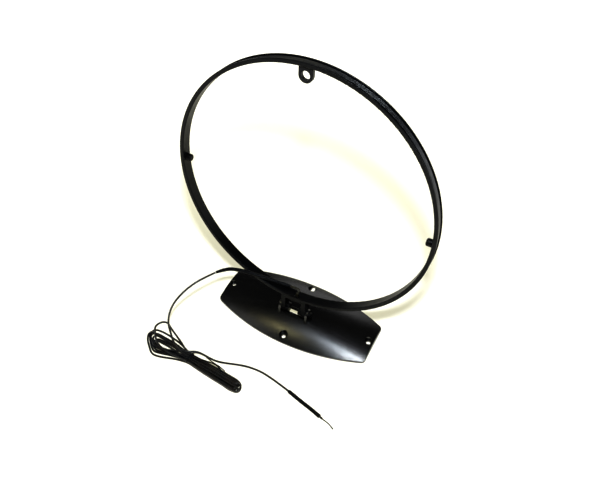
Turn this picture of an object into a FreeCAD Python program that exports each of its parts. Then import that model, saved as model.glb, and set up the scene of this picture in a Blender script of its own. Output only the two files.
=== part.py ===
"""Loop antenna: a tilting round hoop with a wound coil, on a domed base plate, with a tied lead.

Millimetres, +Z up, the front of the hoop towards -Y. The origin is on the floor, midway
between the base plate's two end screw holes.
"""
import FreeCAD, Part
import math
import os

V = FreeCAD.Vector

# Hoop: a ring-shaped channel, open outward, that leans back from the hinge.
LEAN = 10.0
HOOP_OUTER_R = 125.0
HOOP_INNER_R = 121.25
HOOP_WIDTH = 10.8
FLANGE = 1.3
CHANNEL_FLOOR = 1.6
EDGE_ROUND = 1.0
RIM_ROUND = 0.4
HINGE_TO_CENTRE = 144.0

# Winding: turns of wire side by side against the rear flange.
TURNS = 5
WIRE_R = 0.55
WIRE_PITCH = 1.13
WINDING_GAP = 0.05

# Slots through the channel floor for the wire ends.
SLOT_LENGTH = 4.5
SLOT_WIDTH = 3.2
SLOT_AXIAL = 2.3
UPPER_SLOT_ANGLE = 65.0
LEAD_SLOT_ANGLE = -88.8

# Eyelet: a tab inside the top of the hoop.
EYELET_CENTRE_R = 113.3
EYELET_HALF_WIDTH = 6.2
EYELET_HOLE_R = 3.7
EYELET_THICKNESS = 3.2

# Pegs: rounded buttons on the inner wall at the two sides.
PEG_R = 3.5
PEG_LENGTH = 5.8
PEG_ROUND = 1.6
PEG_STEM_R = 1.5
PEG_SEAT_GAP = 0.05

# Hinge: two legs of the hoop between two ears of the base, on one bolt along X.
HINGE_Y = -6.3
HINGE_Z = 18.0
LEG_INNER_X = 9.0
LEG_THICKNESS = 4.6
LEG_HALF_WIDTH = 5.0
LEG_TOP_R = 124.2
HUB_INNER_X = 5.2
HUB_R = 4.4
BRIDGE_BOTTOM = 127.6
EAR_GAP = 0.3
EAR_THICKNESS = 2.5
EAR_R = 5.2
EAR_FOOT_HALF = 8.0
EAR_FOOT_Z = 9.5
BOLT_R = 1.5
LEG_HOLE_R = 1.6
EAR_HOLE_R = 1.55
BOLT_HEAD_R = 3.0
BOLT_HEAD_HEIGHT = 1.9
BOLT_HEAD_ROUND = 0.9
CROSS_SLOT = (3.4, 0.8, 0.9)
NUT_ACROSS_FLATS = 5.5
NUT_HEIGHT = 2.4
BOLT_END = 0.7

# Base plate: a shell, domed both ways, with a barrel-shaped outline.
BASE_HALF_LENGTH = 85.9
BASE_END_HALF = 22.3
BASE_MID_HALF = 39.2
BASE_CORNER_R = 5.0
BASE_WALL = 2.0
DOME_TOP = 12.1
DOME_CROSS_R = 80.0
DOME_LONG_R = 567.6
RIM_EDGE_ROUND = 0.8
OPENING_HALF = 6.5
OPENING_FRONT = -7.9
OPENING_BACK = -2.0
SCREW_HOLE_R = 2.1
SCREW_FLOOR = 2.0
BOSS_WALL = 1.2
END_HOLE_X = 80.4
END_RECESS_R = 4.0
SIDE_HOLE_Y = 32.1
SIDE_RECESS_R = 4.6
REAR_SLOT_LENGTH = 9.4
REAR_SLOT_HALF = 1.9

# Lead: one thin cable. Its near sleeve is held by the hoop, and the rest lies free.
LEAD_R = 1.05
SLEEVE_R = 1.9
EXIT_GAP = 0.6
SLEEVE_ROUTE = [  # across the hoop, up its plane and in front of it, from the hoop's centre
    (-8.4, -118.9, -4.0),
    (-22.0, -117.0, -1.2),
    (-36.0, -113.4, 3.4),
    (-48.0, -109.6, 8.2),
    (-61.0, -109.5, 10.5),
    (-73.5, -111.6, 13.5),
    (-81.0, -113.7, 22.0),
]
START_LEAD_ROUTE = [
    (1.5, -122.9, 1.7),
    (1.5, -118.9, 1.7),
    (2.7, -118.6, -1.2),
    (0.4, -119.3, -3.9),
    (-4.2, -119.4, -4.5),
    (-8.4, -119.6, -4.0),
]
END_LEAD_ROUTE = [
    (3.2, -122.9, 1.9),
    (3.2, -117.6, 1.9),
    (4.4, -117.0, -1.1),
    (2.2, -117.7, -4.4),
    (-3.6, -117.9, -4.6),
    (-8.4, -118.2, -4.0),
]
LEAD_IN_ROUTE = [
    (-85.0, -30.5, 52.7),
    (-91.8, -43.0, 52.8),
    (-98.0, -54.8, 49.0),
    (-103.3, -64.4, 42.0),
    (-107.7, -70.2, 32.0),
    (-110.5, -74.6, 21.0),
    (-110.3, -78.6, 11.5),
    (-106.0, -82.5, 6.5),
    (-99.5, -88.5, 4.2),
]
LOOSE_TURN_ROUTE = [
    (-79.0, -93.0, 2.6),
    (-89.5, -86.2, 1.6),
    (-97.5, -82.6, 1.3),
    (-105.3, -79.1, 1.1),
    (-112.2, -75.8, 1.1),
    (-117.8, -72.7, 1.1),
    (-123.2, -74.0, 1.1),
    (-126.7, -78.6, 1.1),
    (-126.5, -84.2, 1.6),
    (-122.0, -89.3, 2.6),
]
LEAD_OUT_ROUTE = [
    (-76.0, -94.5, 3.0),
    (-70.0, -87.4, 1.9),
    (-61.5, -87.2, 1.1),
    (-52.0, -87.7, 1.1),
    (-43.5, -87.0, 1.1),
    (-34.0, -84.0, 1.1),
    (-23.0, -80.2, 1.1),
    (-12.0, -77.7, 1.1),
    (0.0, -77.0, 1.1),
    (11.5, -78.3, 1.1),
    (23.0, -80.5, 1.3),
    (35.0, -83.1, 1.95),
    (49.0, -86.7, 1.95),
    (62.0, -89.3, 2.1),
    (75.4, -93.1, 2.4),
]
TIP_ROUTE = LEAD_OUT_ROUTE[-2:] + [(79.2, -93.5, 1.6), (84.1, -94.6, 0.9), (88.4, -96.8, 0.6)]
TIP_R = 0.45
LEAD_END_X = 70.0
END_SLEEVE_R = 1.85
END_SLEEVE_START_X = 35.5
SLEEVE_BORE_GAP = 0.05
COLLAR_R = 2.2
COLLAR_START_X = 67.5

# Hank: the folded turns of the lead, tied at a narrow waist.
HANK_HEIGHT = 6.6
HANK_ROUND = 1.6
HANK_OUTLINE = [  # the wide fanned end, then along the front, round the tight end and back
    (-88.0, -89.0),
    (-106.0, -86.1),
    (-117.5, -85.2),
    (-125.6, -88.0),
    (-128.3, -94.3),
    (-124.6, -102.0),
    (-116.0, -108.8),
    (-106.5, -112.0),
    (-96.0, -110.6),
    (-84.0, -106.6),
    (-71.0, -103.8),
    (-55.0, -105.6),
    (-36.0, -108.3),
    (-20.0, -110.0),
    (-10.5, -108.6),
    (-6.8, -104.6),
    (-10.0, -100.2),
    (-20.0, -96.4),
    (-34.0, -93.2),
    (-48.0, -91.7),
    (-60.0, -91.9),
    (-71.0, -92.2),
]
WAIST_X = -71.0
TIE_FRONT_Y = -103.9
TIE_BACK_Y = -92.1
TIE_WIDTH = 3.4
TIE_THICKNESS = 0.8
TIE_TAIL_R = 0.6
TIE_TAILS = [
    [(-70.6, -94.0, 7.4), (-62.0, -91.6, 7.7), (-50.0, -92.0, 7.4), (-38.0, -94.6, 7.3)],
    [(-71.4, -95.4, 7.4), (-64.0, -95.2, 7.8), (-56.5, -97.6, 7.3)],
]

HALF_WIDTH = HOOP_WIDTH / 2
HINGE = V(0, HINGE_Y, HINGE_Z)
EAR_INNER_X = LEG_INNER_X + LEG_THICKNESS + EAR_GAP
EAR_OUTER_X = EAR_INNER_X + EAR_THICKNESS
WINDING_START = -HALF_WIDTH + FLANGE + WINDING_GAP + WIRE_R
WINDING_R = HOOP_INNER_R + CHANNEL_FLOOR + WINDING_GAP + WIRE_R
TILT = FreeCAD.Rotation(V(1, 0, 0), 90.0 - LEAN)
HOOP_CENTRE = HINGE + TILT.multVec(V(0, HINGE_TO_CENTRE, 0))
HOOP_PLACE = FreeCAD.Placement(HOOP_CENTRE, TILT)


def on_hoop(shape):
    """Moves a shape from the hoop's own axes (across, up its plane, towards its front) into place."""
    moved = shape.copy()
    moved.Placement = HOOP_PLACE.multiply(moved.Placement)
    return moved


def closed_face(edges):
    return Part.Face(Part.Wire(edges))


def polyline(points):
    return [Part.LineSegment(a, b).toShape() for a, b in zip(points, points[1:])]


def tangent_route(points):
    """Straight runs joined by tangent arcs; returns the wire and the arcs' radii."""
    corners = [V(*p) for p in points]
    edges = []
    radii = []
    start = corners[0]
    for before, corner, after in zip(corners, corners[1:], corners[2:]):
        back = before - corner
        ahead = after - corner
        trim = 0.45 * min(back.Length, ahead.Length)
        half_turn = (math.pi - back.getAngle(ahead)) / 2
        radius = trim / math.tan(half_turn)
        back.normalize()
        ahead.normalize()
        inward = (back + ahead).normalize()
        middle = corner + inward * (radius / math.cos(half_turn) - radius)
        arc_start = corner + back * trim
        arc_end = corner + ahead * trim
        edges.append(Part.LineSegment(start, arc_start).toShape())
        edges.append(Part.Arc(arc_start, middle, arc_end).toShape())
        radii.append(radius)
        start = arc_end
    edges.append(Part.LineSegment(start, corners[-1]).toShape())
    return Part.Wire(edges), radii


def tube(points, radius, name=None):
    """A round solid along a route; prints its facts when it has a name."""
    path, radii = tangent_route(points)
    first = V(*points[0])
    direction = V(*points[1]) - first
    section = Part.Wire([Part.Circle(first, direction, radius).toShape()])
    solid = path.makePipeShell([section], True, True)
    if name:
        expected = math.pi * radius**2 * path.Length
        smallest = min(radii)
        print(f"{name}: length {path.Length:.1f}, volume ratio {solid.Volume / expected:.4f}")
        print(f"{name}: arc radii {[round(r, 1) for r in radii]}, smallest {smallest:.1f}")
    return solid


def between_x(shape, low, high):
    """The part of a shape between two planes across X."""
    return shape.common(Part.makeBox(high - low, 400, 400, V(low, -200, -200)))


def disc_x(radius, x_low, x_high, centre=HINGE):
    return Part.makeCylinder(radius, x_high - x_low, V(x_low, centre.y, centre.z), V(1, 0, 0))


def channel_ring():
    """The hoop's channel, turned about its own axis from one rounded section."""
    inner, outer, half = HOOP_INNER_R, HOOP_OUTER_R, HALF_WIDTH
    floor = inner + CHANNEL_FLOOR
    lip = half - FLANGE
    bevel = 0.3
    slant = math.sqrt(0.5)

    def round_off(a, mid, b):
        return Part.Arc(V(a[0], 0, a[1]), V(mid[0], 0, mid[1]), V(b[0], 0, b[1])).toShape()

    def side(sign):
        """One flange's outline, from the inner wall out and back down to the channel floor."""
        e, r = EDGE_ROUND, RIM_ROUND
        inner_round = round_off(
            (inner, sign * (half - e)),
            (inner + e * (1 - slant), sign * (half - e * (1 - slant))),
            (inner + e, sign * half),
        )
        rim_round = round_off(
            (outer - r, sign * half),
            (outer - r * (1 - slant), sign * (half - r * (1 - slant))),
            (outer, sign * (half - r)),
        )
        face = polyline([V(inner + e, 0, sign * half), V(outer - r, 0, sign * half)])
        throat = polyline([
            V(outer, 0, sign * (half - r)),
            V(outer, 0, sign * (lip + bevel)),
            V(outer - bevel, 0, sign * lip),
            V(floor, 0, sign * lip),
        ])
        return [inner_round, *face, rim_round, *throat]

    inner_wall = polyline([V(inner, 0, -(half - EDGE_ROUND)), V(inner, 0, half - EDGE_ROUND)])
    floor_line = polyline([V(floor, 0, -lip), V(floor, 0, lip)])
    outline = inner_wall + side(1) + floor_line + side(-1)
    section = Part.Face(Part.Wire(Part.__sortEdges__(outline)))
    return section.revolve(V(0, 0, 0), V(0, 0, 1), 360)


def wire_slot(angle):
    """The cutter for a slot through the channel floor, at an angle from the hoop's right side."""
    depth = 2 * CHANNEL_FLOOR
    cutter = Part.makeBox(
        depth,
        SLOT_LENGTH,
        SLOT_WIDTH,
        V(HOOP_INNER_R - depth / 4, -SLOT_LENGTH / 2, SLOT_AXIAL - SLOT_WIDTH / 2),
    )
    cutter.rotate(V(0, 0, 0), V(0, 0, 1), angle)
    return cutter


def eyelet_tab():
    """A tab with parallel sides and a round end, reaching inward from the top of the inner wall."""
    half = EYELET_THICKNESS / 2
    height = HOOP_INNER_R + CHANNEL_FLOOR / 2 - EYELET_CENTRE_R
    end = Part.makeCylinder(EYELET_HALF_WIDTH, EYELET_THICKNESS, V(0, EYELET_CENTRE_R, -half))
    strip = Part.makeBox(
        2 * EYELET_HALF_WIDTH, height, EYELET_THICKNESS, V(-EYELET_HALF_WIDTH, EYELET_CENTRE_R, -half)
    )
    inside = Part.makeCylinder(HOOP_INNER_R + CHANNEL_FLOOR / 2, EYELET_THICKNESS, V(0, 0, -half))
    hole = Part.makeCylinder(EYELET_HOLE_R, EYELET_THICKNESS, V(0, EYELET_CENTRE_R, -half))
    return strip.fuse(end).common(inside).cut(hole)


def hoop_foot():
    """The two hinge legs below the ring, a hub inside each, and the bridge between them."""
    outer_x = LEG_INNER_X + LEG_THICKNESS
    drop = HINGE_TO_CENTRE - LEG_TOP_R + 2
    foot = None
    for x in (-outer_x, LEG_INNER_X):
        strip = Part.makeBox(
            LEG_THICKNESS, drop, 2 * LEG_HALF_WIDTH, V(x, -HINGE_TO_CENTRE, -LEG_HALF_WIDTH)
        )
        end = Part.makeCylinder(
            LEG_HALF_WIDTH, LEG_THICKNESS, V(x, -HINGE_TO_CENTRE, 0), V(1, 0, 0)
        )
        hub_x = -LEG_INNER_X if x < 0 else HUB_INNER_X
        hub = Part.makeCylinder(
            HUB_R, LEG_INNER_X - HUB_INNER_X, V(hub_x, -HINGE_TO_CENTRE, 0), V(1, 0, 0)
        )
        leg = strip.fuse(end).fuse(hub)
        foot = foot.fuse(leg) if foot else leg
    bridge = Part.makeBox(
        2 * outer_x,
        BRIDGE_BOTTOM - LEG_TOP_R + 2,
        2 * LEG_HALF_WIDTH,
        V(-outer_x, -BRIDGE_BOTTOM, -LEG_HALF_WIDTH),
    )
    ring_space = Part.makeCylinder(LEG_TOP_R, 2 * HOOP_WIDTH, V(0, 0, -HOOP_WIDTH))
    axle = Part.makeCylinder(
        LEG_HOLE_R, 2 * outer_x, V(-outer_x, -HINGE_TO_CENTRE, 0), V(1, 0, 0)
    )
    return foot.fuse(bridge).cut(ring_space).cut(axle)


def hoop_former():
    ring = channel_ring().fuse(eyelet_tab()).fuse(hoop_foot())
    for angle in (UPPER_SLOT_ANGLE, LEAD_SLOT_ANGLE):
        ring = ring.cut(wire_slot(angle))
    for side in (-1, 1):
        hole = Part.makeCylinder(
            PEG_STEM_R + PEG_SEAT_GAP, 2 * CHANNEL_FLOOR, V(side * (HOOP_INNER_R - 0.5), 0, 0), V(side, 0, 0)
        )
        ring = ring.cut(hole)
    return on_hoop(ring.removeSplitter())


def coil_winding():
    """The wound turns as one ring: a band with one round crest for each turn."""
    crest_points = []
    edges = []
    bottom = WINDING_R - WIRE_R
    low = WINDING_START - WIRE_R
    high = WINDING_START + (TURNS - 1) * WIRE_PITCH + WIRE_R
    for turn in range(TURNS):
        middle = WINDING_START + turn * WIRE_PITCH
        left = low if turn == 0 else middle - WIRE_PITCH / 2
        right = high if turn == TURNS - 1 else middle + WIRE_PITCH / 2
        edges.append(
            Part.Arc(V(WINDING_R, 0, left), V(WINDING_R + WIRE_R, 0, middle), V(WINDING_R, 0, right)).toShape()
        )
        crest_points += [left, right]
    edges += polyline([
        V(WINDING_R, 0, crest_points[-1]),
        V(bottom, 0, crest_points[-1]),
        V(bottom, 0, crest_points[0]),
        V(WINDING_R, 0, crest_points[0]),
    ])
    return on_hoop(closed_face(edges).revolve(V(0, 0, 0), V(0, 0, 1), 360))


def peg(side):
    """A rounded button seated on the inner wall, with a stem through the channel floor."""
    inward = HOOP_INNER_R - PEG_LENGTH
    head = Part.makeCylinder(PEG_R, PEG_LENGTH + 1, V(inward, 0, 0), V(1, 0, 0))
    tip = [e for e in head.Edges if abs(e.CenterOfMass.x - inward) < 0.01]
    head = head.makeFillet(PEG_ROUND, tip)
    head = head.common(Part.makeCylinder(HOOP_INNER_R - PEG_SEAT_GAP, 4 * PEG_R, V(0, 0, -2 * PEG_R)))
    stem = Part.makeCylinder(PEG_STEM_R, 2.0, V(HOOP_INNER_R - 1, 0, 0), V(1, 0, 0))
    button = head.fuse(stem).removeSplitter()
    if side < 0:
        button.rotate(V(0, 0, 0), V(0, 0, 1), 180)
    return on_hoop(button)


def base_prism(inset, bottom, top):
    """An upright prism of the base's barrel-shaped outline, drawn in by an inset."""
    length = BASE_HALF_LENGTH - inset
    end = BASE_END_HALF - inset
    middle = BASE_MID_HALF - inset
    edges = [
        Part.Arc(V(-length, -end, bottom), V(0, -middle, bottom), V(length, -end, bottom)).toShape(),
        *polyline([V(length, -end, bottom), V(length, end, bottom)]),
        Part.Arc(V(length, end, bottom), V(0, middle, bottom), V(-length, end, bottom)).toShape(),
        *polyline([V(-length, end, bottom), V(-length, -end, bottom)]),
    ]
    prism = closed_face(edges).extrude(V(0, 0, top - bottom))
    upright = [e for e in prism.Edges if abs(e.tangentAt(e.FirstParameter).z) > 0.99]
    return prism.makeFillet(BASE_CORNER_R - inset, upright)


def dome(depth):
    """The space under the domed surface, a ring surface about an axis along Y, sunk by a depth."""
    return Part.makeTorus(
        DOME_LONG_R - DOME_CROSS_R, DOME_CROSS_R - depth, V(0, 0, DOME_TOP - DOME_LONG_R), V(0, 1, 0)
    )


def screw_boss(x, y, recess_r, body):
    """A round boss under a screw hole, kept inside the base's outer form."""
    boss = Part.makeCylinder(recess_r + BOSS_WALL, 2 * DOME_TOP, V(x, y, 0))
    return boss.common(body)


def base_ear(x):
    """An upright ear with a rounded top around the hinge axis and straight sides to a wider foot."""
    reach = V(EAR_FOOT_HALF, EAR_FOOT_Z - HINGE_Z, 0)
    lean = math.atan2(reach.y, reach.x) + math.acos(EAR_R / reach.Length)
    side_y = EAR_R * math.cos(lean)
    side_z = EAR_R * math.sin(lean)

    def at(y, z):
        return V(x, HINGE_Y + y, HINGE_Z + z)

    outline = polyline([
        at(-side_y, side_z),
        at(-EAR_FOOT_HALF, EAR_FOOT_Z - HINGE_Z),
        at(EAR_FOOT_HALF, EAR_FOOT_Z - HINGE_Z),
        at(side_y, side_z),
    ])
    outline.append(Part.Arc(at(side_y, side_z), at(0, EAR_R), at(-side_y, side_z)).toShape())
    ear = closed_face(outline).extrude(V(EAR_THICKNESS, 0, 0))
    return ear.cut(disc_x(EAR_HOLE_R, x, x + EAR_THICKNESS))


def base_plate():
    body = base_prism(0, 0, 2 * DOME_TOP).common(dome(0))
    upper = [e for e in body.Edges if e.BoundBox.ZMin > 1.0]
    body = body.makeFillet(RIM_EDGE_ROUND, upper)
    hollow = base_prism(BASE_WALL, -1, 2 * DOME_TOP).common(dome(BASE_WALL))
    shell = body.cut(hollow)
    screws = [
        (-END_HOLE_X, 0, END_RECESS_R),
        (END_HOLE_X, 0, END_RECESS_R),
        (0, -SIDE_HOLE_Y, SIDE_RECESS_R),
        (0, SIDE_HOLE_Y, SIDE_RECESS_R),
    ]
    for x, y, recess_r in screws:
        shell = shell.fuse(screw_boss(x, y, recess_r, body))
    for x in (-EAR_OUTER_X, EAR_INNER_X):
        shell = shell.fuse(base_ear(x))
    for x, y, recess_r in screws:
        shell = shell.cut(Part.makeCylinder(recess_r, DOME_TOP, V(x, y, SCREW_FLOOR)))
        if y <= 0:
            shell = shell.cut(Part.makeCylinder(SCREW_HOLE_R, DOME_TOP, V(x, y, -1)))
    straight = REAR_SLOT_LENGTH - 2 * REAR_SLOT_HALF
    slot = Part.makeBox(
        2 * REAR_SLOT_HALF, straight, DOME_TOP, V(-REAR_SLOT_HALF, SIDE_HOLE_Y - straight / 2, -1)
    )
    for end in (-1, 1):
        slot = slot.fuse(
            Part.makeCylinder(REAR_SLOT_HALF, DOME_TOP, V(0, SIDE_HOLE_Y + end * straight / 2, -1))
        )
    opening = Part.makeBox(
        2 * OPENING_HALF, OPENING_BACK - OPENING_FRONT, DOME_TOP, V(-OPENING_HALF, OPENING_FRONT, SCREW_FLOOR)
    )
    return shell.cut(slot).cut(opening).removeSplitter()


def hinge_bolt():
    """A pan-head screw with a cross recess, its head against the left ear."""
    head = disc_x(BOLT_HEAD_R, -EAR_OUTER_X - BOLT_HEAD_HEIGHT, -EAR_OUTER_X)
    crown = [e for e in head.Edges if e.BoundBox.XMax < -EAR_OUTER_X - 0.5 and len(e.Vertexes) == 1]
    head = head.makeFillet(BOLT_HEAD_ROUND, crown)
    length, width, depth = CROSS_SLOT
    face_x = -EAR_OUTER_X - BOLT_HEAD_HEIGHT
    for along_y, along_z in ((length, width), (width, length)):
        corner = V(face_x, HINGE_Y - along_y / 2, HINGE_Z - along_z / 2)
        head = head.cut(Part.makeBox(depth, along_y, along_z, corner))
    return head.fuse(disc_x(BOLT_R, -EAR_OUTER_X, EAR_OUTER_X + NUT_HEIGHT + BOLT_END)).removeSplitter()


def hinge_nut():
    """A hexagon nut against the right ear."""
    corner_r = NUT_ACROSS_FLATS / math.sqrt(3)
    corners = [
        V(EAR_OUTER_X, HINGE_Y + corner_r * math.cos(a), HINGE_Z + corner_r * math.sin(a))
        for a in (math.radians(30 + 60 * k) for k in range(7))
    ]
    body = closed_face(polyline(corners)).extrude(V(NUT_HEIGHT, 0, 0))
    chamfer = 0.9 * corner_r
    bevel = Part.makeCone(
        chamfer + NUT_HEIGHT, chamfer, NUT_HEIGHT, V(EAR_OUTER_X, HINGE_Y, HINGE_Z), V(1, 0, 0)
    )
    return body.common(bevel).cut(disc_x(BOLT_R, EAR_OUTER_X, EAR_OUTER_X + NUT_HEIGHT))


def lead_sleeve():
    return on_hoop(tube(SLEEVE_ROUTE, SLEEVE_R, "lead_sleeve"))


def hank_body():
    """The outer form of the folded turns, wide at the left where they fan out, before the tie's groove."""
    corners = [V(x, y, 0) for x, y in HANK_OUTLINE]
    seam = (corners[0] + corners[-1]) / 2
    outline, radii = tangent_route([seam, *corners, seam])
    print(f"lead_hank: smallest outline radius {min(radii):.1f}")
    body = Part.Face(outline).extrude(V(0, 0, HANK_HEIGHT))
    rims = [e for e in body.Edges if e.BoundBox.ZLength < 0.1]
    return body.makeFillet(HANK_ROUND, rims)


def tie_band():
    """The tie's closed band, set into the hank's waist."""
    depth = TIE_BACK_Y - TIE_FRONT_Y
    left = WAIST_X - TIE_WIDTH / 2
    outer = Part.makeBox(TIE_WIDTH, depth, HANK_HEIGHT + TIE_THICKNESS, V(left, TIE_FRONT_Y, 0))
    inner = Part.makeBox(
        TIE_WIDTH,
        depth - 2 * TIE_THICKNESS,
        HANK_HEIGHT - TIE_THICKNESS,
        V(left, TIE_FRONT_Y + TIE_THICKNESS, TIE_THICKNESS),
    )
    return outer.cut(inner)


def twist_tie(hank):
    tie = tie_band()
    for tail in TIE_TAILS:
        tie = tie.fuse(tube(tail, TIE_TAIL_R))
    return tie.cut(hank).removeSplitter()


def shrunk_sleeve():
    """The far sleeve: bored for the lead, then shrunk onto the bare tip."""
    route = LEAD_OUT_ROUTE[-5:]
    sleeve = tube(route, END_SLEEVE_R).cut(tube(route, LEAD_R + SLEEVE_BORE_GAP))
    sleeve = between_x(sleeve, END_SLEEVE_START_X, LEAD_END_X)
    closed = between_x(tube(route, END_SLEEVE_R), LEAD_END_X, LEAD_OUT_ROUTE[-1][0])
    return sleeve.fuse(closed).cut(tube(TIP_ROUTE, TIP_R)).removeSplitter()


def end_collar():
    """A short second sleeve shrunk over the far end of the first."""
    route = LEAD_OUT_ROUTE[-5:]
    ring = tube(route, COLLAR_R).cut(tube(route, END_SLEEVE_R))
    return between_x(ring, COLLAR_START_X, LEAD_OUT_ROUTE[-1][0])


def tinned_tip():
    return between_x(tube(TIP_ROUTE, TIP_R, "tinned_tip"), LEAD_END_X, TIP_ROUTE[-1][0] + 5)


def free_lead(hank_solid):
    """The lead's free stretches: in from just beyond the sleeve, loose, and out, ending on the hank."""
    sleeve_end = HOOP_PLACE.multVec(V(*SLEEVE_ROUTE[-1]))
    exit_way = (V(*LEAD_IN_ROUTE[0]) - sleeve_end).normalize()
    start = sleeve_end + exit_way * EXIT_GAP
    lead_in = tube([tuple(start)] + LEAD_IN_ROUTE, LEAD_R, "lead_in").cut(hank_solid)
    loose_turn = tube(LOOSE_TURN_ROUTE, LEAD_R, "lead_loose_turn").cut(hank_solid)
    lead_out = tube(LEAD_OUT_ROUTE, LEAD_R, "lead_out").cut(hank_solid)
    return lead_in, loose_turn, between_x(lead_out, -200, LEAD_END_X)


def build():
    sleeve = lead_sleeve()
    bundle = hank_body()
    hank = bundle.cut(tie_band())
    lead_in, loose_turn, lead_out = free_lead(bundle.fuse(tie_band()))
    return {
        "hoop_former": hoop_former(),
        "coil_winding": coil_winding(),
        "coil_start_lead": on_hoop(tube(START_LEAD_ROUTE, WIRE_R)).cut(sleeve),
        "coil_end_lead": on_hoop(tube(END_LEAD_ROUTE, WIRE_R)).cut(sleeve),
        "peg_left": peg(-1),
        "peg_right": peg(1),
        "lead_sleeve": sleeve,
        "base_plate": base_plate(),
        "hinge_bolt": hinge_bolt(),
        "hinge_nut": hinge_nut(),
        "lead_in": lead_in,
        "lead_loose_turn": loose_turn,
        "lead_hank": hank,
        "twist_tie": twist_tie(hank),
        "lead_out": lead_out,
        "end_sleeve": shrunk_sleeve(),
        "end_collar": end_collar(),
        "tinned_tip": tinned_tip(),
    }


os.makedirs("parts", exist_ok=True)
for node, shape in build().items():
    solids = len(shape.Solids)
    print(f"{node}: solids {solids}, valid {shape.isValid()}, volume {shape.Volume:.1f}")
    shape.exportStep(f"parts/{node}.step")
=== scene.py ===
"""Looks of a hinged loop antenna: a grooved round hoop with its coil, a domed base plate and a tied lead.

Lengths in the tables below are millimetres in the row frame unless a comment says otherwise; MM turns
them into metres. +Z is up and the front of the hoop faces -Y.
"""

import math

import bpy
import bmesh
from mathutils import Matrix, Vector


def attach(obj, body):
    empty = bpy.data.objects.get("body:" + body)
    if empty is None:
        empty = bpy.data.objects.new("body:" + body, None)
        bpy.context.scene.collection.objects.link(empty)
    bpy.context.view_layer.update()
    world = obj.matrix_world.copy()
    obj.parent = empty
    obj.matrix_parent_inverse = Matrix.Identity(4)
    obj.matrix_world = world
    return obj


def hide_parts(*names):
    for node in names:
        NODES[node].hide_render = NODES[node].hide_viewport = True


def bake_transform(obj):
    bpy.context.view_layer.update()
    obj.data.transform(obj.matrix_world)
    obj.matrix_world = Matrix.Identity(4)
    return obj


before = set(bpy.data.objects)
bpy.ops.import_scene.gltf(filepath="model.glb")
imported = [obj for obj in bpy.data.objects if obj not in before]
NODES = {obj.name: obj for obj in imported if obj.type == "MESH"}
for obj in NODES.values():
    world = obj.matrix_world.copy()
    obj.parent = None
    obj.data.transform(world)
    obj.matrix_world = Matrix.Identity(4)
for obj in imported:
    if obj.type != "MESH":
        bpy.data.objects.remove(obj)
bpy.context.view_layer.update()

MM = 0.001
WELD_DISTANCE = 1e-7  # in metres

# The hoop's own axes: across, up its plane and towards its front. Its centre is up its plane from the hinge.
LEAN = math.radians(10.0)
HINGE = Vector((0.0, -6.3, 18.0))
HINGE_TO_CENTRE = 144.0
ACROSS = Vector((1.0, 0.0, 0.0))
UP_PLANE = Vector((0.0, math.sin(LEAN), math.cos(LEAN)))
FORWARD = Vector((0.0, -math.cos(LEAN), math.sin(LEAN)))
HOOP_CENTRE = HINGE + UP_PLANE * HINGE_TO_CENTRE

# Winding. Its full turns reach from the first to the last of the CAD ring's crests, which number one more.
TURNS = 4
WIRE_R = 0.55
WIRE_PITCH = 1.13
WINDING_R = 123.45
WINDING_START = -3.5

# Lead.
LEAD_R = 1.05
LEAD_EXIT_GAP = 0.6
SLEEVE_R = 1.9
SLEEVE_ROUTE = [  # on the hoop's own axes
    (-8.4, -118.9, -4.0),
    (-22.0, -117.0, -1.2),
    (-36.0, -113.4, 3.4),
    (-48.0, -109.6, 8.2),
    (-61.0, -109.5, 10.5),
    (-73.5, -111.6, 13.5),
    (-81.0, -113.7, 22.0),
]
LEAD_IN_ROUTE = [
    (-85.0, -30.5, 52.7),
    (-91.8, -43.0, 52.8),
    (-98.0, -54.8, 49.0),
    (-103.3, -64.4, 42.0),
    (-107.7, -70.2, 32.0),
    (-110.5, -74.6, 21.0),
    (-110.3, -78.6, 11.5),
    (-106.0, -82.5, 6.5),
    (-99.5, -88.3, 5.4),
    (-90.0, -94.4, 5.7),
    (-80.0, -97.6, 5.4),
]
LOOSE_TURN_ROUTE = [
    (-80.0, -92.2, 3.2),
    (-89.5, -86.6, 1.8),
    (-97.5, -82.8, 1.3),
    (-105.3, -79.3, 1.1),
    (-112.2, -76.0, 1.1),
    (-117.8, -72.7, 1.1),
    (-123.2, -74.0, 1.1),
    (-126.7, -78.6, 1.1),
    (-126.3, -84.0, 2.4),
    (-121.6, -89.2, 3.5),
    (-117.2, -94.0, 4.2),
    (-112.2, -98.4, 5.1),
    (-104.0, -101.6, 5.2),
    (-93.0, -102.6, 5.0),
    (-81.0, -102.3, 5.1),
]
LEAD_OUT_ROUTE = [
    (-76.4, -92.6, 4.4),
    (-70.0, -87.4, 2.0),
    (-61.5, -87.2, 1.1),
    (-52.0, -87.7, 1.1),
    (-43.5, -87.0, 1.1),
    (-34.0, -84.0, 1.1),
    (-23.0, -80.2, 1.1),
    (-12.0, -77.7, 1.1),
    (0.0, -77.0, 1.1),
    (11.5, -78.3, 1.1),
    (23.0, -80.5, 1.3),
    (35.0, -83.1, 1.95),
    (49.0, -86.7, 1.95),
    (62.0, -89.3, 2.1),
    (75.4, -93.1, 2.4),
]

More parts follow.
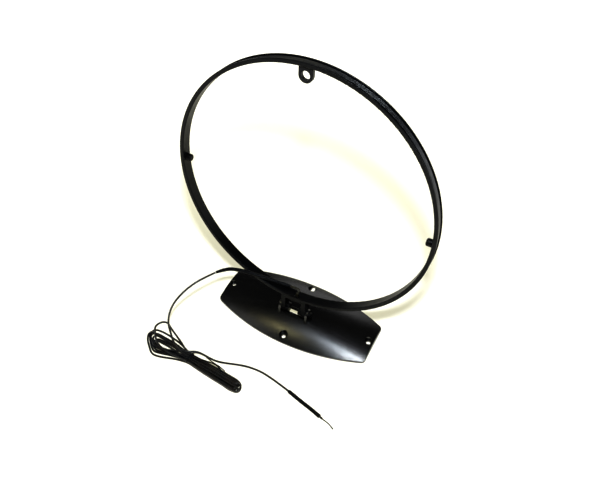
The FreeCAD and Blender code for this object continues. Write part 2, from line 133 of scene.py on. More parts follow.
# Hank: folded turns through a tied waist. A turn runs right along the front, back along the rear, round the
# open left end and to the front again. Slots are places in the waist: (distance behind its middle, height).
WAIST_X = -71.0
WAIST_Y = -97.7
FRONT_SLOTS = [(0.0, 5.3), (-4.1, 1.6), (-3.1, 3.3), (-2.05, 1.6), (-1.0, 3.3), (0.0, 1.6), (-4.1, 5.1)]
BACK_SLOTS = [(2.1, 5.1), (4.1, 1.6), (3.1, 3.3), (2.05, 1.6), (1.0, 3.3), (4.1, 5.1), (-2.1, 5.1)]
RIGHT_FOLDS = [  # tip x, middle of the fold, half its width, height of its runs
    (-13.4, 2.9, 2.0, 4.9),
    (-9.6, 0.3, 5.6, 1.1),
    (-8.2, -1.2, 4.4, 3.0),
    (-12.2, 0.3, 3.6, 1.1),
    (-12.6, -1.2, 2.3, 3.0),
    (-15.5, 0.3, 1.6, 1.1),
    (-9.0, -3.6, 2.1, 4.9),
]
RIGHT_END_X = -10.0
RIGHT_END_Y = -102.4
# Stations of a right fold: x, and the share of the way from its slot in the waist to its own run.
FOLD_STATIONS = ((-62.0, 0.4), (-52.0, 0.8), (-38.0, 1.0), (-26.0, 1.0))
# Its rounded end, in half widths: distance back from the tip, and distance from the fold's middle.
FOLD_END = ((1.2, -1.12), (0.0, -0.62), (0.0, 0.62), (1.2, 1.12))
LEFT_FOLDS = [
    [
        (-81.0, -95.2, 4.8),
        (-92.0, -93.0, 3.8),
        (-103.0, -91.9, 3.3),
        (-113.0, -91.0, 3.2),
        (-120.2, -89.8, 3.2),
        (-125.4, -90.0, 3.2),
        (-127.1, -93.8, 3.1),
        (-123.8, -99.9, 2.0),
        (-117.2, -105.4, 1.1),
        (-111.2, -110.1, 1.1),
        (-104.2, -110.3, 1.1),
        (-95.0, -107.6, 1.1),
        (-84.0, -104.0, 1.3),
    ],
    [
        (-81.0, -90.6, 1.4),
        (-92.0, -86.9, 1.1),
        (-103.0, -85.3, 1.1),
        (-114.0, -84.3, 1.1),
        (-122.6, -84.8, 1.1),
        (-126.6, -88.0, 1.1),
        (-126.0, -93.2, 1.1),
        (-122.2, -98.1, 1.1),
        (-115.8, -103.8, 1.1),
        (-110.2, -107.3, 1.1),
        (-102.0, -105.7, 1.1),
        (-92.5, -103.2, 1.1),
        (-82.0, -101.6, 2.2),
    ],
    [
        (-81.0, -93.2, 2.8),
        (-92.0, -90.3, 1.6),
        (-103.0, -89.2, 1.1),
        (-112.5, -88.8, 1.1),
        (-119.4, -88.4, 1.1),
        (-124.4, -90.2, 1.1),
        (-124.2, -94.2, 1.1),
        (-120.6, -96.9, 1.1),
        (-114.4, -102.3, 1.1),
        (-109.0, -105.1, 1.1),
        (-101.0, -103.5, 1.1),
        (-92.0, -101.4, 1.1),
        (-82.0, -100.0, 1.4),
    ],
    [
        (-81.0, -94.6, 1.4),
        (-92.0, -92.3, 1.1),
        (-103.0, -91.3, 1.1),
        (-110.5, -90.9, 1.1),
        (-116.4, -90.4, 1.1),
        (-119.6, -90.9, 1.1),
        (-121.2, -93.2, 1.1),
        (-119.8, -96.0, 1.1),
        (-115.6, -99.0, 1.1),
        (-110.4, -102.7, 1.1),
        (-101.5, -101.4, 1.1),
        (-92.0, -100.1, 1.1),
        (-82.0, -99.0, 2.4),
    ],
    [
        (-81.0, -96.2, 2.8),
        (-92.0, -94.0, 1.6),
        (-103.0, -93.4, 1.1),
        (-109.0, -93.2, 1.1),
        (-113.8, -93.2, 1.1),
        (-116.9, -94.8, 1.1),
        (-116.8, -97.6, 1.1),
        (-113.8, -99.4, 1.1),
        (-108.4, -100.5, 1.1),
        (-100.5, -99.6, 1.1),
        (-91.0, -98.5, 1.1),
        (-82.0, -97.9, 1.4),
    ],
]
LAST_LEFT_FOLD = [
    (-81.0, -99.3, 5.1),
    (-91.0, -97.3, 3.6),
    (-100.0, -95.9, 1.8),
    (-106.0, -95.6, 1.4),
    (-111.4, -95.6, 2.0),
    (-115.0, -96.6, 2.8),
    (-116.4, -99.2, 3.2),
    (-114.2, -101.8, 3.3),
    (-107.5, -101.9, 3.2),
    (-98.0, -100.6, 3.4),
    (-90.0, -98.3, 4.6),
    (-83.0, -95.4, 5.2),
]


def lerp(a, b, t):
    return a + (b - a) * t


def right_fold(k):
    """Runs out from the waist along the front, round a tight fold and back along the rear."""
    tip, middle, half, z = RIGHT_FOLDS[k]
    front, front_z = FRONT_SLOTS[k]
    back, back_z = BACK_SLOTS[k]

    def hank_y(x):
        return lerp(WAIST_Y, RIGHT_END_Y, (x - WAIST_X) / (RIGHT_END_X - WAIST_X))

    def run_y(x, side):
        return hank_y(x) + middle + side * half

    def station(x, share, side, slot, slot_z):
        return (x, lerp(hank_y(x) + slot, run_y(x, side), share), lerp(slot_z, z, share))

    points = [(WAIST_X, WAIST_Y + front, front_z)]
    for x, share in FOLD_STATIONS:
        points.append(station(x, share, -1, front, front_z))
    for back_off, side in FOLD_END:
        x = tip - back_off * half
        points.append((x, run_y(x, side), z))
    for x, share in reversed(FOLD_STATIONS):
        points.append(station(x, share, 1, back, back_z))
    points.append((WAIST_X, WAIST_Y + back, back_z))
    return points


def lead_points():
    """Control points of the whole lead, from the near sleeve's end to the far end."""
    sleeve_end = on_hoop(SLEEVE_ROUTE[-1])
    way = (Vector(LEAD_IN_ROUTE[0]) - sleeve_end).normalized()
    points = [tuple(sleeve_end + way * LEAD_EXIT_GAP)] + LEAD_IN_ROUTE
    for k, left_fold in enumerate(LEFT_FOLDS):
        points += right_fold(k) + left_fold
    points += right_fold(len(LEFT_FOLDS)) + LOOSE_TURN_ROUTE
    points += right_fold(len(LEFT_FOLDS) + 1) + LAST_LEFT_FOLD
    return points + LEAD_OUT_ROUTE


def on_hoop(point):
    """A point on the hoop's own axes, in the row frame, in millimetres."""
    across, up, forward = point
    return HOOP_CENTRE + ACROSS * across + UP_PLANE * up + FORWARD * forward


def spline_line(points, resolution):
    """Points along the smooth NURBS curve that has these control points, in metres."""
    curve = bpy.data.curves.new("route", "CURVE")
    curve.dimensions = "3D"
    curve.resolution_u = resolution
    spline = curve.splines.new("NURBS")
    spline.points.add(len(points) - 1)
    for point, control in zip(spline.points, points):
        point.co = (*(Vector(control) * MM), 1.0)
    spline.order_u = 3
    spline.use_endpoint_u = True
    holder = bpy.data.objects.new("route", curve)
    bpy.context.scene.collection.objects.link(holder)
    bpy.context.view_layer.update()
    evaluated = holder.evaluated_get(bpy.context.evaluated_depsgraph_get())
    mesh = bpy.data.meshes.new_from_object(evaluated)
    line = [vertex.co.copy() for vertex in mesh.vertices]
    bpy.data.meshes.remove(mesh)
    bpy.data.objects.remove(holder)
    bpy.data.curves.remove(curve)
    return line


def add_mesh(name, build, smooth_angle=40.0):
    """A new object from a bmesh builder, shaded smooth up to an angle."""
    mesh = bpy.data.meshes.new(name)
    work = bmesh.new()
    build(work)
    bmesh.ops.remove_doubles(work, verts=work.verts, dist=WELD_DISTANCE)
    bmesh.ops.recalc_face_normals(work, faces=work.faces)
    work.to_mesh(mesh)
    work.free()
    mesh.shade_smooth()
    mesh.set_sharp_from_angle(angle=math.radians(smooth_angle))
    piece = bpy.data.objects.new(name, mesh)
    bpy.context.scene.collection.objects.link(piece)
    return piece


def line_frames(line):
    """Two steady side directions at each point of a line."""
    last = len(line) - 1
    tangents = []
    for i in range(len(line)):
        before = line[max(i - 1, 0)]
        after = line[min(i + 1, last)]
        tangents.append((after - before).normalized())
    side = tangents[0].orthogonal().normalized()
    frames = []
    for i, tangent in enumerate(tangents):
        if i:
            side = tangents[i - 1].rotation_difference(tangent) @ side
        side = (side - tangent * side.dot(tangent)).normalized()
        frames.append((side, tangent.cross(side)))
    return frames


def sweep(work, line, radius, sides, flatten=1.0):
    """A capped tube along a line. The radius may be a number or a function of the share of the way along it;
    flatten scales the section in one of its two directions."""
    radius_at = radius if callable(radius) else (lambda share: radius)
    frames = line_frames(line)
    last = len(line) - 1
    rings = []
    for i, (point, (side, over)) in enumerate(zip(line, frames)):
        r = radius_at(i / last)
        ring = []
        for k in range(sides):
            angle = 2 * math.pi * k / sides
            beside = point + side * r * math.cos(angle)
            ring.append(work.verts.new(beside + over * r * flatten * math.sin(angle)))
        rings.append(ring)
    for a, b in zip(rings, rings[1:]):
        for k in range(sides):
            work.faces.new((a[k], a[(k + 1) % sides], b[(k + 1) % sides], b[k]))
    work.faces.new(rings[0])
    work.faces.new(rings[-1])


def tube_piece(name, line, radius, sides):
    return add_mesh(name, lambda work: sweep(work, line, radius, sides))


# Materials. Colours are linear; texture scales are per metre and bump distances are metres.
# Places of the colour sockets on a Mix node:
MIX_FACTOR = 0
MIX_FIRST = 6
MIX_SECOND = 7
MIX_RESULT = 2


class Shader:
    """A small helper that builds one node material around a Principled shader."""

    def __init__(self, name):
        self.material = bpy.data.materials.new(name)
        self.material.use_nodes = True
        self.nodes = self.material.node_tree.nodes
        self.links = self.material.node_tree.links
        self.surface = self.nodes["Principled BSDF"]
        self.place = self.nodes.new("ShaderNodeTexCoord").outputs["Object"]
        self.bump = None

    def stretched(self, scale):
        mapping = self.nodes.new("ShaderNodeMapping")
        mapping.inputs["Scale"].default_value = scale
        self.links.new(self.place, mapping.inputs["Vector"])
        return mapping.outputs["Vector"]

    def noise(self, scale, detail, place=None):
        node = self.nodes.new("ShaderNodeTexNoise")
        node.inputs["Scale"].default_value = scale
        node.inputs["Detail"].default_value = detail
        self.links.new(place or self.place, node.inputs["Vector"])
        return node.outputs["Fac"]

    def ramp(self, value, stops):
        """Maps a value to colours; stops are two pairs of (position, colour)."""
        node = self.nodes.new("ShaderNodeValToRGB")
        for element, (position, colour) in zip(node.color_ramp.elements, stops):
            element.position = position
            element.color = (*colour, 1.0)
        self.links.new(value, node.inputs["Fac"])
        return node.outputs["Color"]

    def span(self, value, low, high, to_low, to_high):
        """Maps a value from one range to another."""
        node = self.nodes.new("ShaderNodeMapRange")
        for name, number in (("From Min", low), ("From Max", high), ("To Min", to_low), ("To Max", to_high)):
            node.inputs[name].default_value = number
        self.links.new(value, node.inputs["Value"])
        return node.outputs["Result"]

    def mix(self, factor, first, second):
        """Mixes two colours by a socket; a colour may be a constant or a socket."""
        node = self.nodes.new("ShaderNodeMix")
        node.data_type = "RGBA"
        self.links.new(factor, node.inputs[MIX_FACTOR])
        for index, colour in ((MIX_FIRST, first), (MIX_SECOND, second)):
            if isinstance(colour, bpy.types.NodeSocket):
                self.links.new(colour, node.inputs[index])
            else:
                node.inputs[index].default_value = (*colour, 1.0)
        return node.outputs[MIX_RESULT]

    def add_bump(self, height, distance, strength=1.0):
        """Adds one more layer of bump on top of those before it."""
        node = self.nodes.new("ShaderNodeBump")
        node.inputs["Distance"].default_value = distance
        node.inputs["Strength"].default_value = strength
        self.links.new(height, node.inputs["Height"])
        if self.bump is not None:
            self.links.new(self.bump, node.inputs["Normal"])
        self.bump = node.outputs["Normal"]
        self.links.new(self.bump, self.surface.inputs["Normal"])

    def colour(self, socket):
        self.links.new(socket, self.surface.inputs["Base Color"])

    def roughness(self, socket):
        self.links.new(socket, self.surface.inputs["Roughness"])


def moulded_plastic(name, dark, light, rough, specular):
    """Black moulded plastic: cloudy colour, fine spark grain, faint rubbed streaks and lighter worn edges."""
    shader = Shader(name)
    cloud = shader.noise(scale=34.0, detail=4.0)
    tone = shader.ramp(cloud, [(0.3, dark), (0.72, light)])
    pointiness = shader.nodes.new("ShaderNodeNewGeometry").outputs["Pointiness"]
    edge = shader.span(pointiness, low=0.53, high=0.60, to_low=0.0, to_high=0.5)
    patches = shader.noise(scale=420.0, detail=3.0)
    worn = shader.span(patches, low=0.35, high=0.75, to_low=0.15, to_high=1.0)
    rubbed = shader.mix(worn, (0, 0, 0), edge)
    pale = tuple(min(1.0, WORN_GAIN * c + WORN_LIFT) for c in light)
    shader.colour(shader.mix(rubbed, tone, pale))
    streak = shader.noise(scale=90.0, detail=5.0, place=shader.stretched((1.0, 5.0, 1.0)))
    shader.roughness(shader.span(streak, low=0.3, high=0.7, to_low=rough[0], to_high=rough[1]))
    shader.surface.inputs["Specular IOR Level"].default_value = specular
    shader.add_bump(shader.noise(scale=240.0, detail=2.0), distance=0.00006, strength=0.5)
    shader.add_bump(shader.noise(scale=2600.0, detail=3.0), distance=0.00003)
    return shader.material


def cable_jacket(name, cold, warm, rough, specular):
    """Soft PVC jacket: slow shifts between a cool and a warm black, faint dust and small dents."""
    shader = Shader(name)
    drift = shader.noise(scale=55.0, detail=3.0)
    tone = shader.ramp(drift, [(0.36, cold), (0.64, warm)])
    specks = shader.noise(scale=1900.0, detail=4.0)
    dust = shader.span(specks, low=0.62, high=0.8, to_low=0.0, to_high=0.12)
    shader.colour(shader.mix(dust, tone, DUST_COLOUR))
    wear = shader.noise(scale=300.0, detail=3.0)
    shader.roughness(shader.span(wear, low=0.3, high=0.7, to_low=rough[0], to_high=rough[1]))
    shader.surface.inputs["Specular IOR Level"].default_value = specular
    shader.add_bump(shader.noise(scale=500.0, detail=2.0), distance=0.00008, strength=0.6)
    shader.add_bump(shader.noise(scale=3800.0, detail=2.0), distance=0.000015)
    return shader.material


def shrink_tubing(name, dark, light, specular):
    """Shrunk tubing: satin, with fine ripples and rubbed pale patches."""
    shader = Shader(name)
    patch = shader.noise(scale=150.0, detail=4.0)
    shader.colour(shader.ramp(patch, [(0.35, dark), (0.7, light)]))
    shader.roughness(shader.span(patch, low=0.3, high=0.7, to_low=0.34, to_high=0.55))
    shader.surface.inputs["Specular IOR Level"].default_value = specular
    shader.add_bump(shader.noise(scale=620.0, detail=3.0), distance=0.00018, strength=0.7)
    shader.add_bump(shader.noise(scale=3000.0, detail=2.0), distance=0.00002)
    return shader.material


def metal(name, dark, light, rough):
    """Dull metal with fine scratches along X."""
    shader = Shader(name)
    grain = shader.noise(scale=500.0, detail=5.0, place=shader.stretched((1.0, 9.0, 9.0)))
    shader.colour(shader.ramp(grain, [(0.3, dark), (0.7, light)]))
    shader.roughness(shader.span(grain, low=0.3, high=0.7, to_low=rough[0], to_high=rough[1]))
    shader.surface.inputs["Metallic"].default_value = 1.0
    shader.add_bump(grain, distance=0.00003, strength=0.6)
    return shader.material


# A worn edge is the light colour times a gain, plus a lift.
WORN_GAIN = 2.4
WORN_LIFT = 0.01
DUST_COLOUR = (0.16, 0.15, 0.15)

HOOP_PLASTIC = moulded_plastic(
    "hoop_plastic",
    dark=(0.0012, 0.0014, 0.0017),
    light=(0.0028, 0.0031, 0.0036),
    rough=(0.30, 0.42),
    specular=0.18,
)
BASE_PLASTIC = moulded_plastic(
    "base_plastic",
    dark=(0.0008, 0.0008, 0.0007),
    light=(0.0018, 0.0018, 0.0016),
    rough=(0.23, 0.27),
    specular=1.0,
)
PEG_PLASTIC = moulded_plastic(
    "peg_plastic",
    dark=(0.0010, 0.0010, 0.0011),
    light=(0.0024, 0.0024, 0.0026),
    rough=(0.32, 0.44),
    specular=0.15,
)
LEAD_JACKET = cable_jacket(
    "lead_jacket",
    cold=(0.0016, 0.0028, 0.0046),
    warm=(0.0075, 0.0050, 0.0036),
    rough=(0.30, 0.44),
    specular=0.80,
)
COIL_JACKET = cable_jacket(
    "coil_jacket",
    cold=(0.0012, 0.0016, 0.0022),
    warm=(0.0030, 0.0034, 0.0042),
    rough=(0.30, 0.42),
    specular=1.0,
)
COIL_END_JACKET = cable_jacket(
    "coil_end_jacket",
    cold=(0.0050, 0.0052, 0.0026),
    warm=(0.0170, 0.0160, 0.0080),
    rough=(0.30, 0.42),
    specular=0.60,
)
SLEEVE_TUBING = shrink_tubing(
    "sleeve_tubing",
    dark=(0.0016, 0.0018, 0.0022),
    light=(0.0050, 0.0054, 0.0066),
    specular=0.16,
)
COLLAR_TUBING = shrink_tubing(
    "collar_tubing",
    dark=(0.0020, 0.0019, 0.0020),
    light=(0.0060, 0.0050, 0.0054),
    specular=0.30,
)
TIE_COATING = cable_jacket(
    "tie_coating",
    cold=(0.0014, 0.0026, 0.0044),
    warm=(0.0050, 0.0034, 0.0026),
    rough=(0.38, 0.55),
    specular=0.25,
)
HINGE_STEEL = metal(
    "hinge_steel",
    dark=(0.012, 0.012, 0.013),
    light=(0.035, 0.035, 0.036),
    rough=(0.32, 0.50),
)
TINNED_WIRE = metal(
    "tinned_wire",
    dark=(0.020, 0.018, 0.015),
    light=(0.075, 0.070, 0.062),
    rough=(0.30, 0.48),
)


def paint(piece, material):
    """Gives a piece one material in place of any others."""
    piece.data.materials.clear()
    piece.data.materials.append(material)


def place(piece, material, body, slot, *nodes):
    """Paints a new piece, makes it ride on its body and hides the CAD nodes that it stands for."""
    paint(piece, material)
    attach(piece, body)
    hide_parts(*nodes)


for node, material in (
    ("hoop_former", HOOP_PLASTIC),
    ("peg_left", PEG_PLASTIC),
    ("peg_right", PEG_PLASTIC),
    ("base_plate", BASE_PLASTIC),
    ("hinge_bolt", HINGE_STEEL),
    ("hinge_nut", HINGE_STEEL),
):
    paint(NODES[node], material)


# Lead: one cable, swept as one tube from the near sleeve's end to the far end.
lead_line = spline_line(lead_points(), resolution=8)
lead = tube_piece("lead_cable", lead_line, LEAD_R * MM, sides=12)
paint(lead, LEAD_JACKET)
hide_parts("lead_in", "lead_loose_turn", "lead_hank", "lead_out")
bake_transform(lead)


# Near sleeve on the hoop, and the two wire ends that go into it. A neck is a share of the full radius, a
# taper is its growth per share of the way along, and a swell is a (depth, rate).
SLEEVE_SIDES = 18
COIL_NECK = 0.80
COIL_TAPER = 5.0
LEAD_NECK = 0.66
LEAD_TAPER = 4.5
SLOW_SWELL = (0.035, 40.0)
QUICK_SWELL = (0.02, 97.0)


def swell(kind, share):
    depth, rate = kind
    return depth * math.sin(rate * share)


def sleeve_radius(share):
    """Tapers at both ends and swells a little along the way."""
    ends = min(1.0, COIL_NECK + COIL_TAPER * share, LEAD_NECK + LEAD_TAPER * (1.0 - share))
    return SLEEVE_R * MM * ends * (1.0 + swell(SLOW_SWELL, share) + swell(QUICK_SWELL, share))


sleeve_line = spline_line([on_hoop(p) for p in SLEEVE_ROUTE], resolution=14)
sleeve = add_mesh("near_sleeve", lambda work: sweep(work, sleeve_line, sleeve_radius, SLEEVE_SIDES))
place(sleeve, SLEEVE_TUBING, "hoop", "sleeve_tube", "lead_sleeve")

COIL_ENDS = (  # name, CAD node, route on the hoop's own axes
    (
        "coil_start",
        "coil_start_lead",
        [
            (1.5, -123.3, 1.7),
            (1.5, -120.6, 1.7),
            (1.6, -118.6, 1.5),
            (2.7, -118.4, -1.2),
            (0.4, -119.2, -3.9),
            (-4.2, -119.4, -4.5),
            (-10.0, -119.5, -3.9),
        ],
    ),
    (
        "coil_end",
        "coil_end_lead",
        [
            (3.2, -123.3, 1.9),
            (3.2, -119.6, 1.9),
            (3.3, -117.2, 1.7),
            (4.4, -116.8, -1.1),
            (2.2, -117.6, -4.4),
            (-3.6, -117.9, -4.6),
            (-10.0, -118.1, -3.9),
        ],
    ),
)
for name, node, route in COIL_ENDS:
    wire_line = spline_line([on_hoop(p) for p in route], resolution=10)
    piece = tube_piece(name, wire_line, WIRE_R * MM, sides=10)
    place(piece, COIL_END_JACKET, "hoop", "coil_wire", node)


# Winding: one wire laid turn beside turn from the rear flange forward.
COIL_STEPS = 120
LEAD_SLOT_ANGLE = math.radians(-88.8)


def winding_line():
    """The helix, from the slot at the bottom where the wire's ends come through."""
    line = []
    for i in range(TURNS * COIL_STEPS + 1):
        turn = i / COIL_STEPS
        angle = LEAD_SLOT_ANGLE + 2 * math.pi * turn
        forward = WINDING_START + WIRE_PITCH * turn
        point = (WINDING_R * math.cos(angle), WINDING_R * math.sin(angle), forward)
        line.append(on_hoop(point) * MM)
    return line


winding = tube_piece("coil_turns", winding_line(), WIRE_R * MM, sides=8)
place(winding, COIL_JACKET, "hoop", "coil_wire", "coil_winding")


# Far end: sleeve, collar and tinned strands follow the lead's own line.
END_SLEEVE_R = 1.85
END_SLEEVE_START_X = 33.0
END_X = 75.4
END_SLEEVE_NECK = 0.72
COLLAR_R = 2.2
COLLAR_START_X = 67.5
COLLAR_NECK = 0.88
SHRINK_TAPER = 9.0
RIPPLE = (0.025, 31.0)


def line_between(line, low_x, high_x):
    """The last stretch of a line whose points lie between two distances across."""
    found = []
    for point in reversed(line):
        if point.x < low_x * MM:
            break
        if point.x <= high_x * MM:
            found.append(point)
    return found[::-1]


def shrunk(radius, neck):
    """A radius that shrinks to a neck at both ends, with slight ripples."""

    def at(share):
        ends = min(1.0, neck + SHRINK_TAPER * share, neck + SHRINK_TAPER * (1.0 - share))
        return radius * MM * ends * (1.0 + swell(RIPPLE, share))

    return at


far_line = line_between(lead_line, END_SLEEVE_START_X, END_X)
end_sleeve_radius = shrunk(END_SLEEVE_R, END_SLEEVE_NECK)
end_sleeve = add_mesh("far_sleeve", lambda work: sweep(work, far_line, end_sleeve_radius, SLEEVE_SIDES))
place(end_sleeve, SLEEVE_TUBING, "base", "sleeve_tube", "end_sleeve")
collar_line = line_between(lead_line, COLLAR_START_X, END_X)
collar_radius = shrunk(COLLAR_R, COLLAR_NECK)
collar = add_mesh("far_collar", lambda work: sweep(work, collar_line, collar_radius, SLEEVE_SIDES))
place(collar, COLLAR_TUBING, "base", "collar_tube", "end_collar")

TIP_ROUTE = [
    (72.0, -92.2, 2.3),
    (75.4, -93.1, 2.2),
    (79.2, -93.5, 1.6),
    (84.1, -94.6, 0.9),
    (88.4, -96.8, 0.6),
]
STRANDS = 6
STRAND_R = 0.21
STRAND_LAY = 0.34
STRAND_SIDES = 6
TWIST_PER_POINT = 0.34
SPLAY = 0.25
SPLAY_POWER = 6


def tinned_strands(work):
    """Fine strands twisted round one another, splayed a little at the cut end."""
    core = spline_line(TIP_ROUTE, resolution=12)
    frames = line_frames(core)
    sweep(work, core, STRAND_R * MM, STRAND_SIDES)
    for strand in range(STRANDS):
        line = []
        for i, (point, (side, over)) in enumerate(zip(core, frames)):
            angle = 2 * math.pi * strand / STRANDS + TWIST_PER_POINT * i
            lay = STRAND_LAY * MM * (1.0 + SPLAY * (i / len(core)) ** SPLAY_POWER)
            line.append(point + side * lay * math.cos(angle) + over * lay * math.sin(angle))
        sweep(work, line, STRAND_R * MM, STRAND_SIDES)


tip = add_mesh("tinned_strands", tinned_strands)
place(tip, TINNED_WIRE, "base", "tinned_wire", "tinned_tip")


# Tie: a coated wire strip round the waist, its ends twisted together and then spread.
TIE_HALF_WIDTH = 1.1
TIE_THICKNESS = 0.45
TIE_FRONT_Y = -103.2
TIE_BACK_Y = -92.3
TIE_BOTTOM_Z = 0.6
TIE_TOP_Z = 6.9
TIE_STEPS = 72
TIE_SQUARENESS = 3.4  # 2 is an ellipse; more is squarer
TIE_LEAN = 0.06
TIE_SECTION = [  # in half widths across and thicknesses outward; a core of wire is raised along the middle
    (-1.0, 0.0),
    (-0.45, 0.35),
    (-0.2, 1.0),
    (0.2, 1.0),
    (0.45, 0.35),
    (1.0, 0.0),
    (1.0, -0.5),
    (-1.0, -0.5),
]
TAIL_RADIUS = 0.75
TAIL_SIDES = 8
TAIL_FLATTEN = 0.62
TIE_TAILS = (
    [
        (-71.6, -94.0, 6.6),
        (-69.8, -91.4, 6.2),
        (-65.4, -89.4, 5.0),
        (-60.0, -88.6, 4.4),
        (-54.0, -90.0, 4.2),
        (-46.0, -91.6, 4.6),
        (-38.6, -92.2, 4.6),
        (-31.5, -94.0, 4.4),
    ],
    [
        (-70.4, -95.0, 7.0),
        (-66.0, -94.6, 7.1),
        (-58.0, -95.0, 6.9),
        (-51.0, -93.8, 6.7),
        (-44.0, -93.0, 6.6),
        (-38.0, -94.0, 6.5),
        (-33.4, -96.2, 6.4),
    ],
)


def tie_loop():
    """A rounded upright loop round the waist, as (point, outward) pairs."""
    middle_y = (TIE_FRONT_Y + TIE_BACK_Y) / 2
    middle_z = (TIE_BOTTOM_Z + TIE_TOP_Z) / 2
    half_y = (TIE_BACK_Y - TIE_FRONT_Y) / 2
    half_z = (TIE_TOP_Z - TIE_BOTTOM_Z) / 2
    power = 2.0 / TIE_SQUARENESS
    loop = []
    for i in range(TIE_STEPS):
        angle = 2 * math.pi * i / TIE_STEPS
        c = math.cos(angle)
        s = math.sin(angle)
        y = half_y * math.copysign(abs(c) ** power, c)
        z = half_z * math.copysign(abs(s) ** power, s)
        outward = Vector((0.0, c / half_y, s / half_z)).normalized()
        lean = TIE_LEAN * y
        loop.append((Vector((WAIST_X + lean, middle_y + y, middle_z + z)), outward))
    return loop


def tie_strip(work):
    """The strip round the waist and its two tails."""
    rings = []
    for point, outward in tie_loop():
        ring = []
        for across, height in TIE_SECTION:
            corner = point + ACROSS * (across * TIE_HALF_WIDTH) + outward * (height * TIE_THICKNESS)
            ring.append(work.verts.new(corner * MM))
        rings.append(ring)
    for a, b in zip(rings, rings[1:] + rings[:1]):
        for k in range(len(TIE_SECTION)):
            n = (k + 1) % len(TIE_SECTION)
            work.faces.new((a[k], a[n], b[n], b[k]))
    for tail in TIE_TAILS:
        tail_line = spline_line(tail, resolution=10)
        sweep(work, tail_line, TAIL_RADIUS * MM, TAIL_SIDES, flatten=TAIL_FLATTEN)


tie = add_mesh("twist_strip", tie_strip, smooth_angle=30.0)
place(tie, TIE_COATING, "base", "tie_plastic", "twist_tie")


# Floor, light and camera, in metres.
FLOOR_SIZE = 6.0
FLOOR_DROP = 0.00005
FLOOR_COLOUR = (0.42, 0.42, 0.415, 1.0)
FLOOR_ROUGHNESS = 0.9
FLOOR_SPECULAR = 0.1
# The floor's glow is painted light: yellowish near the object, where it gives the shadows a painted yellow
# tint, and whiter and stronger further off.
NEAR_GLOW = (1.0, 0.97, 0.70)
FAR_GLOW = (1.0, 1.0, 0.97)
BACKDROP_R = 2.9
BACKDROP_GLOW = (1.0, 1.0, 0.985, 1.0)
BACKDROP_STRENGTH = 0.82


def pale_floor():
    """A plain floor that glows a little more far from the object, where the key light fades."""
    bpy.ops.mesh.primitive_plane_add(size=FLOOR_SIZE, location=(0.0, 0.0, -FLOOR_DROP))
    floor = bpy.context.object
    floor.name = "floor"
    shader = Shader("pale_floor")
    shader.surface.inputs["Base Color"].default_value = FLOOR_COLOUR
    shader.surface.inputs["Roughness"].default_value = FLOOR_ROUGHNESS
    shader.surface.inputs["Specular IOR Level"].default_value = FLOOR_SPECULAR
    distance = shader.nodes.new("ShaderNodeVectorMath")
    distance.operation = "LENGTH"
    shader.links.new(shader.place, distance.inputs[0])
    away = distance.outputs["Value"]
    whiten = shader.span(away, low=0.20, high=0.7, to_low=0.0, to_high=1.0)
    glow = shader.mix(whiten, NEAR_GLOW, FAR_GLOW)
    shader.links.new(glow, shader.surface.inputs["Emission Color"])
    strength = shader.span(away, low=0.12, high=0.60, to_low=0.46, to_high=1.02)
    shader.links.new(strength, shader.surface.inputs["Emission Strength"])
    paint(floor, shader.material)


def pale_backdrop():
    """A plain dome behind everything, seen only directly: it neither lights the object nor shades it."""
    bpy.ops.mesh.primitive_uv_sphere_add(segments=48, ring_count=24, radius=BACKDROP_R)
    dome = bpy.context.object
    dome.name = "backdrop"
    shader = Shader("pale_backdrop")
    shader.surface.inputs["Base Color"].default_value = (0.0, 0.0, 0.0, 1.0)
    shader.surface.inputs["Emission Color"].default_value = BACKDROP_GLOW
    shader.surface.inputs["Emission Strength"].default_value = BACKDROP_STRENGTH
    paint(dome, shader.material)
    dome.visible_diffuse = False
    dome.visible_glossy = False
    dome.visible_transmission = False
    dome.visible_volume_scatter = False
    dome.visible_shadow = False


def area_light(name, place_at, aim, size, watts, colour=(1.0, 1.0, 1.0)):
    """A round lamp, in metres and watts."""
    light = bpy.data.lights.new(name, "AREA")
    light.shape = "DISK"
    light.size = size
    light.energy = watts
    light.color = colour
    holder = bpy.data.objects.new(name, light)
    holder.location = place_at
    holder.rotation_euler = (Vector(aim) - Vector(place_at)).to_track_quat("-Z", "Y").to_euler()
    bpy.context.scene.collection.objects.link(holder)
    return holder


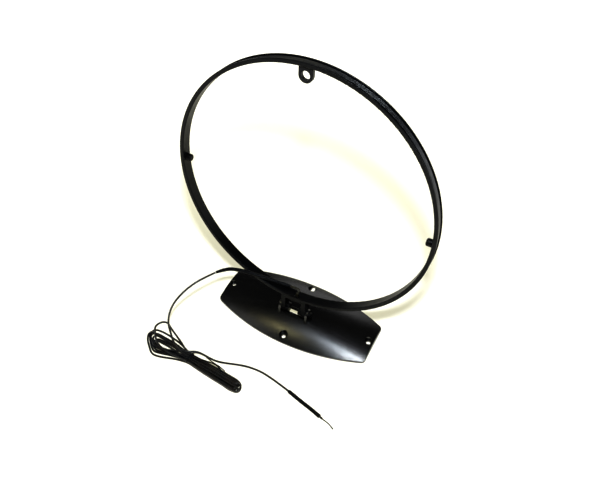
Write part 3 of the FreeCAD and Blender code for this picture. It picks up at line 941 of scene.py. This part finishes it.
# The key casts the shadows and gives no gloss. The sheen lamps give only gloss: a row of small ones makes the
# long streak on the base, one more the yellowish patch by its front hole, one stands where the key is, and
# three large ones further off pick out the sides.
KEY_PLACE = (0.176, -0.250, 0.648)
KEY_AIM = (0.0, 0.0, 0.05)
KEY_SIZE = 0.045
KEY_WATTS = 6.0
SHEEN_AIM = (0.0, 0.0, 0.0)
SHEEN_LAMPS = (  # place, size, watts, colour
    ((0.150, -0.116, 0.648), 0.05, 0.70, (0.95, 0.96, 1.0)),
    ((0.078, -0.092, 0.648), 0.07, 0.34, (0.80, 0.90, 1.0)),
    ((-0.002, -0.076, 0.648), 0.09, 0.12, (0.80, 0.90, 1.0)),
    ((-0.100, -0.048, 0.648), 0.10, 0.05, (0.85, 0.92, 1.0)),
    ((-0.225, -0.172, 0.648), 0.12, 0.16, (1.0, 0.92, 0.50)),
    (KEY_PLACE, 0.07, 0.50, (0.80, 0.92, 1.0)),
    ((1.10, -1.10, 0.50), 0.80, 2.5, (0.90, 0.96, 1.0)),
    ((-1.40, -0.10, 0.45), 0.80, 2.5, (1.0, 1.0, 1.0)),
    ((1.25, 0.90, 0.32), 0.60, 1.0, (1.0, 1.0, 1.0)),
)
SOFT_LAMPS = (  # name, place, aim, size, watts
    ("fill", (-1.1, -0.7, 1.2), (-0.2, 0.3, 0.0), 1.0, 1.5),
    ("back", (-0.30, 1.40, 0.60), (0.0, 0.0, 0.0), 0.8, 1.2),
)
WORLD_COLOUR = (1.0, 1.0, 1.0, 1.0)
WORLD_STRENGTH = 0.06

pale_floor()
pale_backdrop()
key = area_light("key", KEY_PLACE, KEY_AIM, KEY_SIZE, KEY_WATTS)
key.visible_glossy = False
for number, (place_at, size, watts, colour) in enumerate(SHEEN_LAMPS):
    sheen = area_light(f"sheen_{number}", place_at, SHEEN_AIM, size, watts, colour)
    sheen.visible_diffuse = False
for name, place_at, aim, size, watts in SOFT_LAMPS:
    area_light(name, place_at, aim, size, watts)

world = bpy.data.worlds.new("studio")
bpy.context.scene.world = world
world.use_nodes = True
background = world.node_tree.nodes["Background"]
background.inputs["Color"].default_value = WORLD_COLOUR
background.inputs["Strength"].default_value = WORLD_STRENGTH
bpy.context.scene.view_settings.view_transform = "Standard"
bpy.context.scene.view_settings.look = "High Contrast"

SENSOR_WIDTH = 36.0  # in millimetres, as is the lens
LENS = 35.617
CLIP_START = 0.01
CAMERA_PLACE = Vector((0.18644, -0.29383, 0.53006))
CAMERA_LOOK = Vector((-0.3361, 0.5532, -0.7623)).normalized()
CAMERA_RIGHT = Vector((0.8793, 0.4743, -0.0436)).normalized()
camera_data = bpy.data.cameras.new("camera")
camera_data.sensor_width = SENSOR_WIDTH
camera_data.lens = LENS
camera_data.clip_start = CLIP_START
camera = bpy.data.objects.new("camera", camera_data)
bpy.context.scene.collection.objects.link(camera)
camera_up = CAMERA_RIGHT.cross(CAMERA_LOOK)
camera.matrix_world = Matrix.Translation(CAMERA_PLACE) @ Matrix(
    (CAMERA_RIGHT, camera_up, -CAMERA_LOOK)
).transposed().to_4x4()
bpy.context.scene.camera = camera
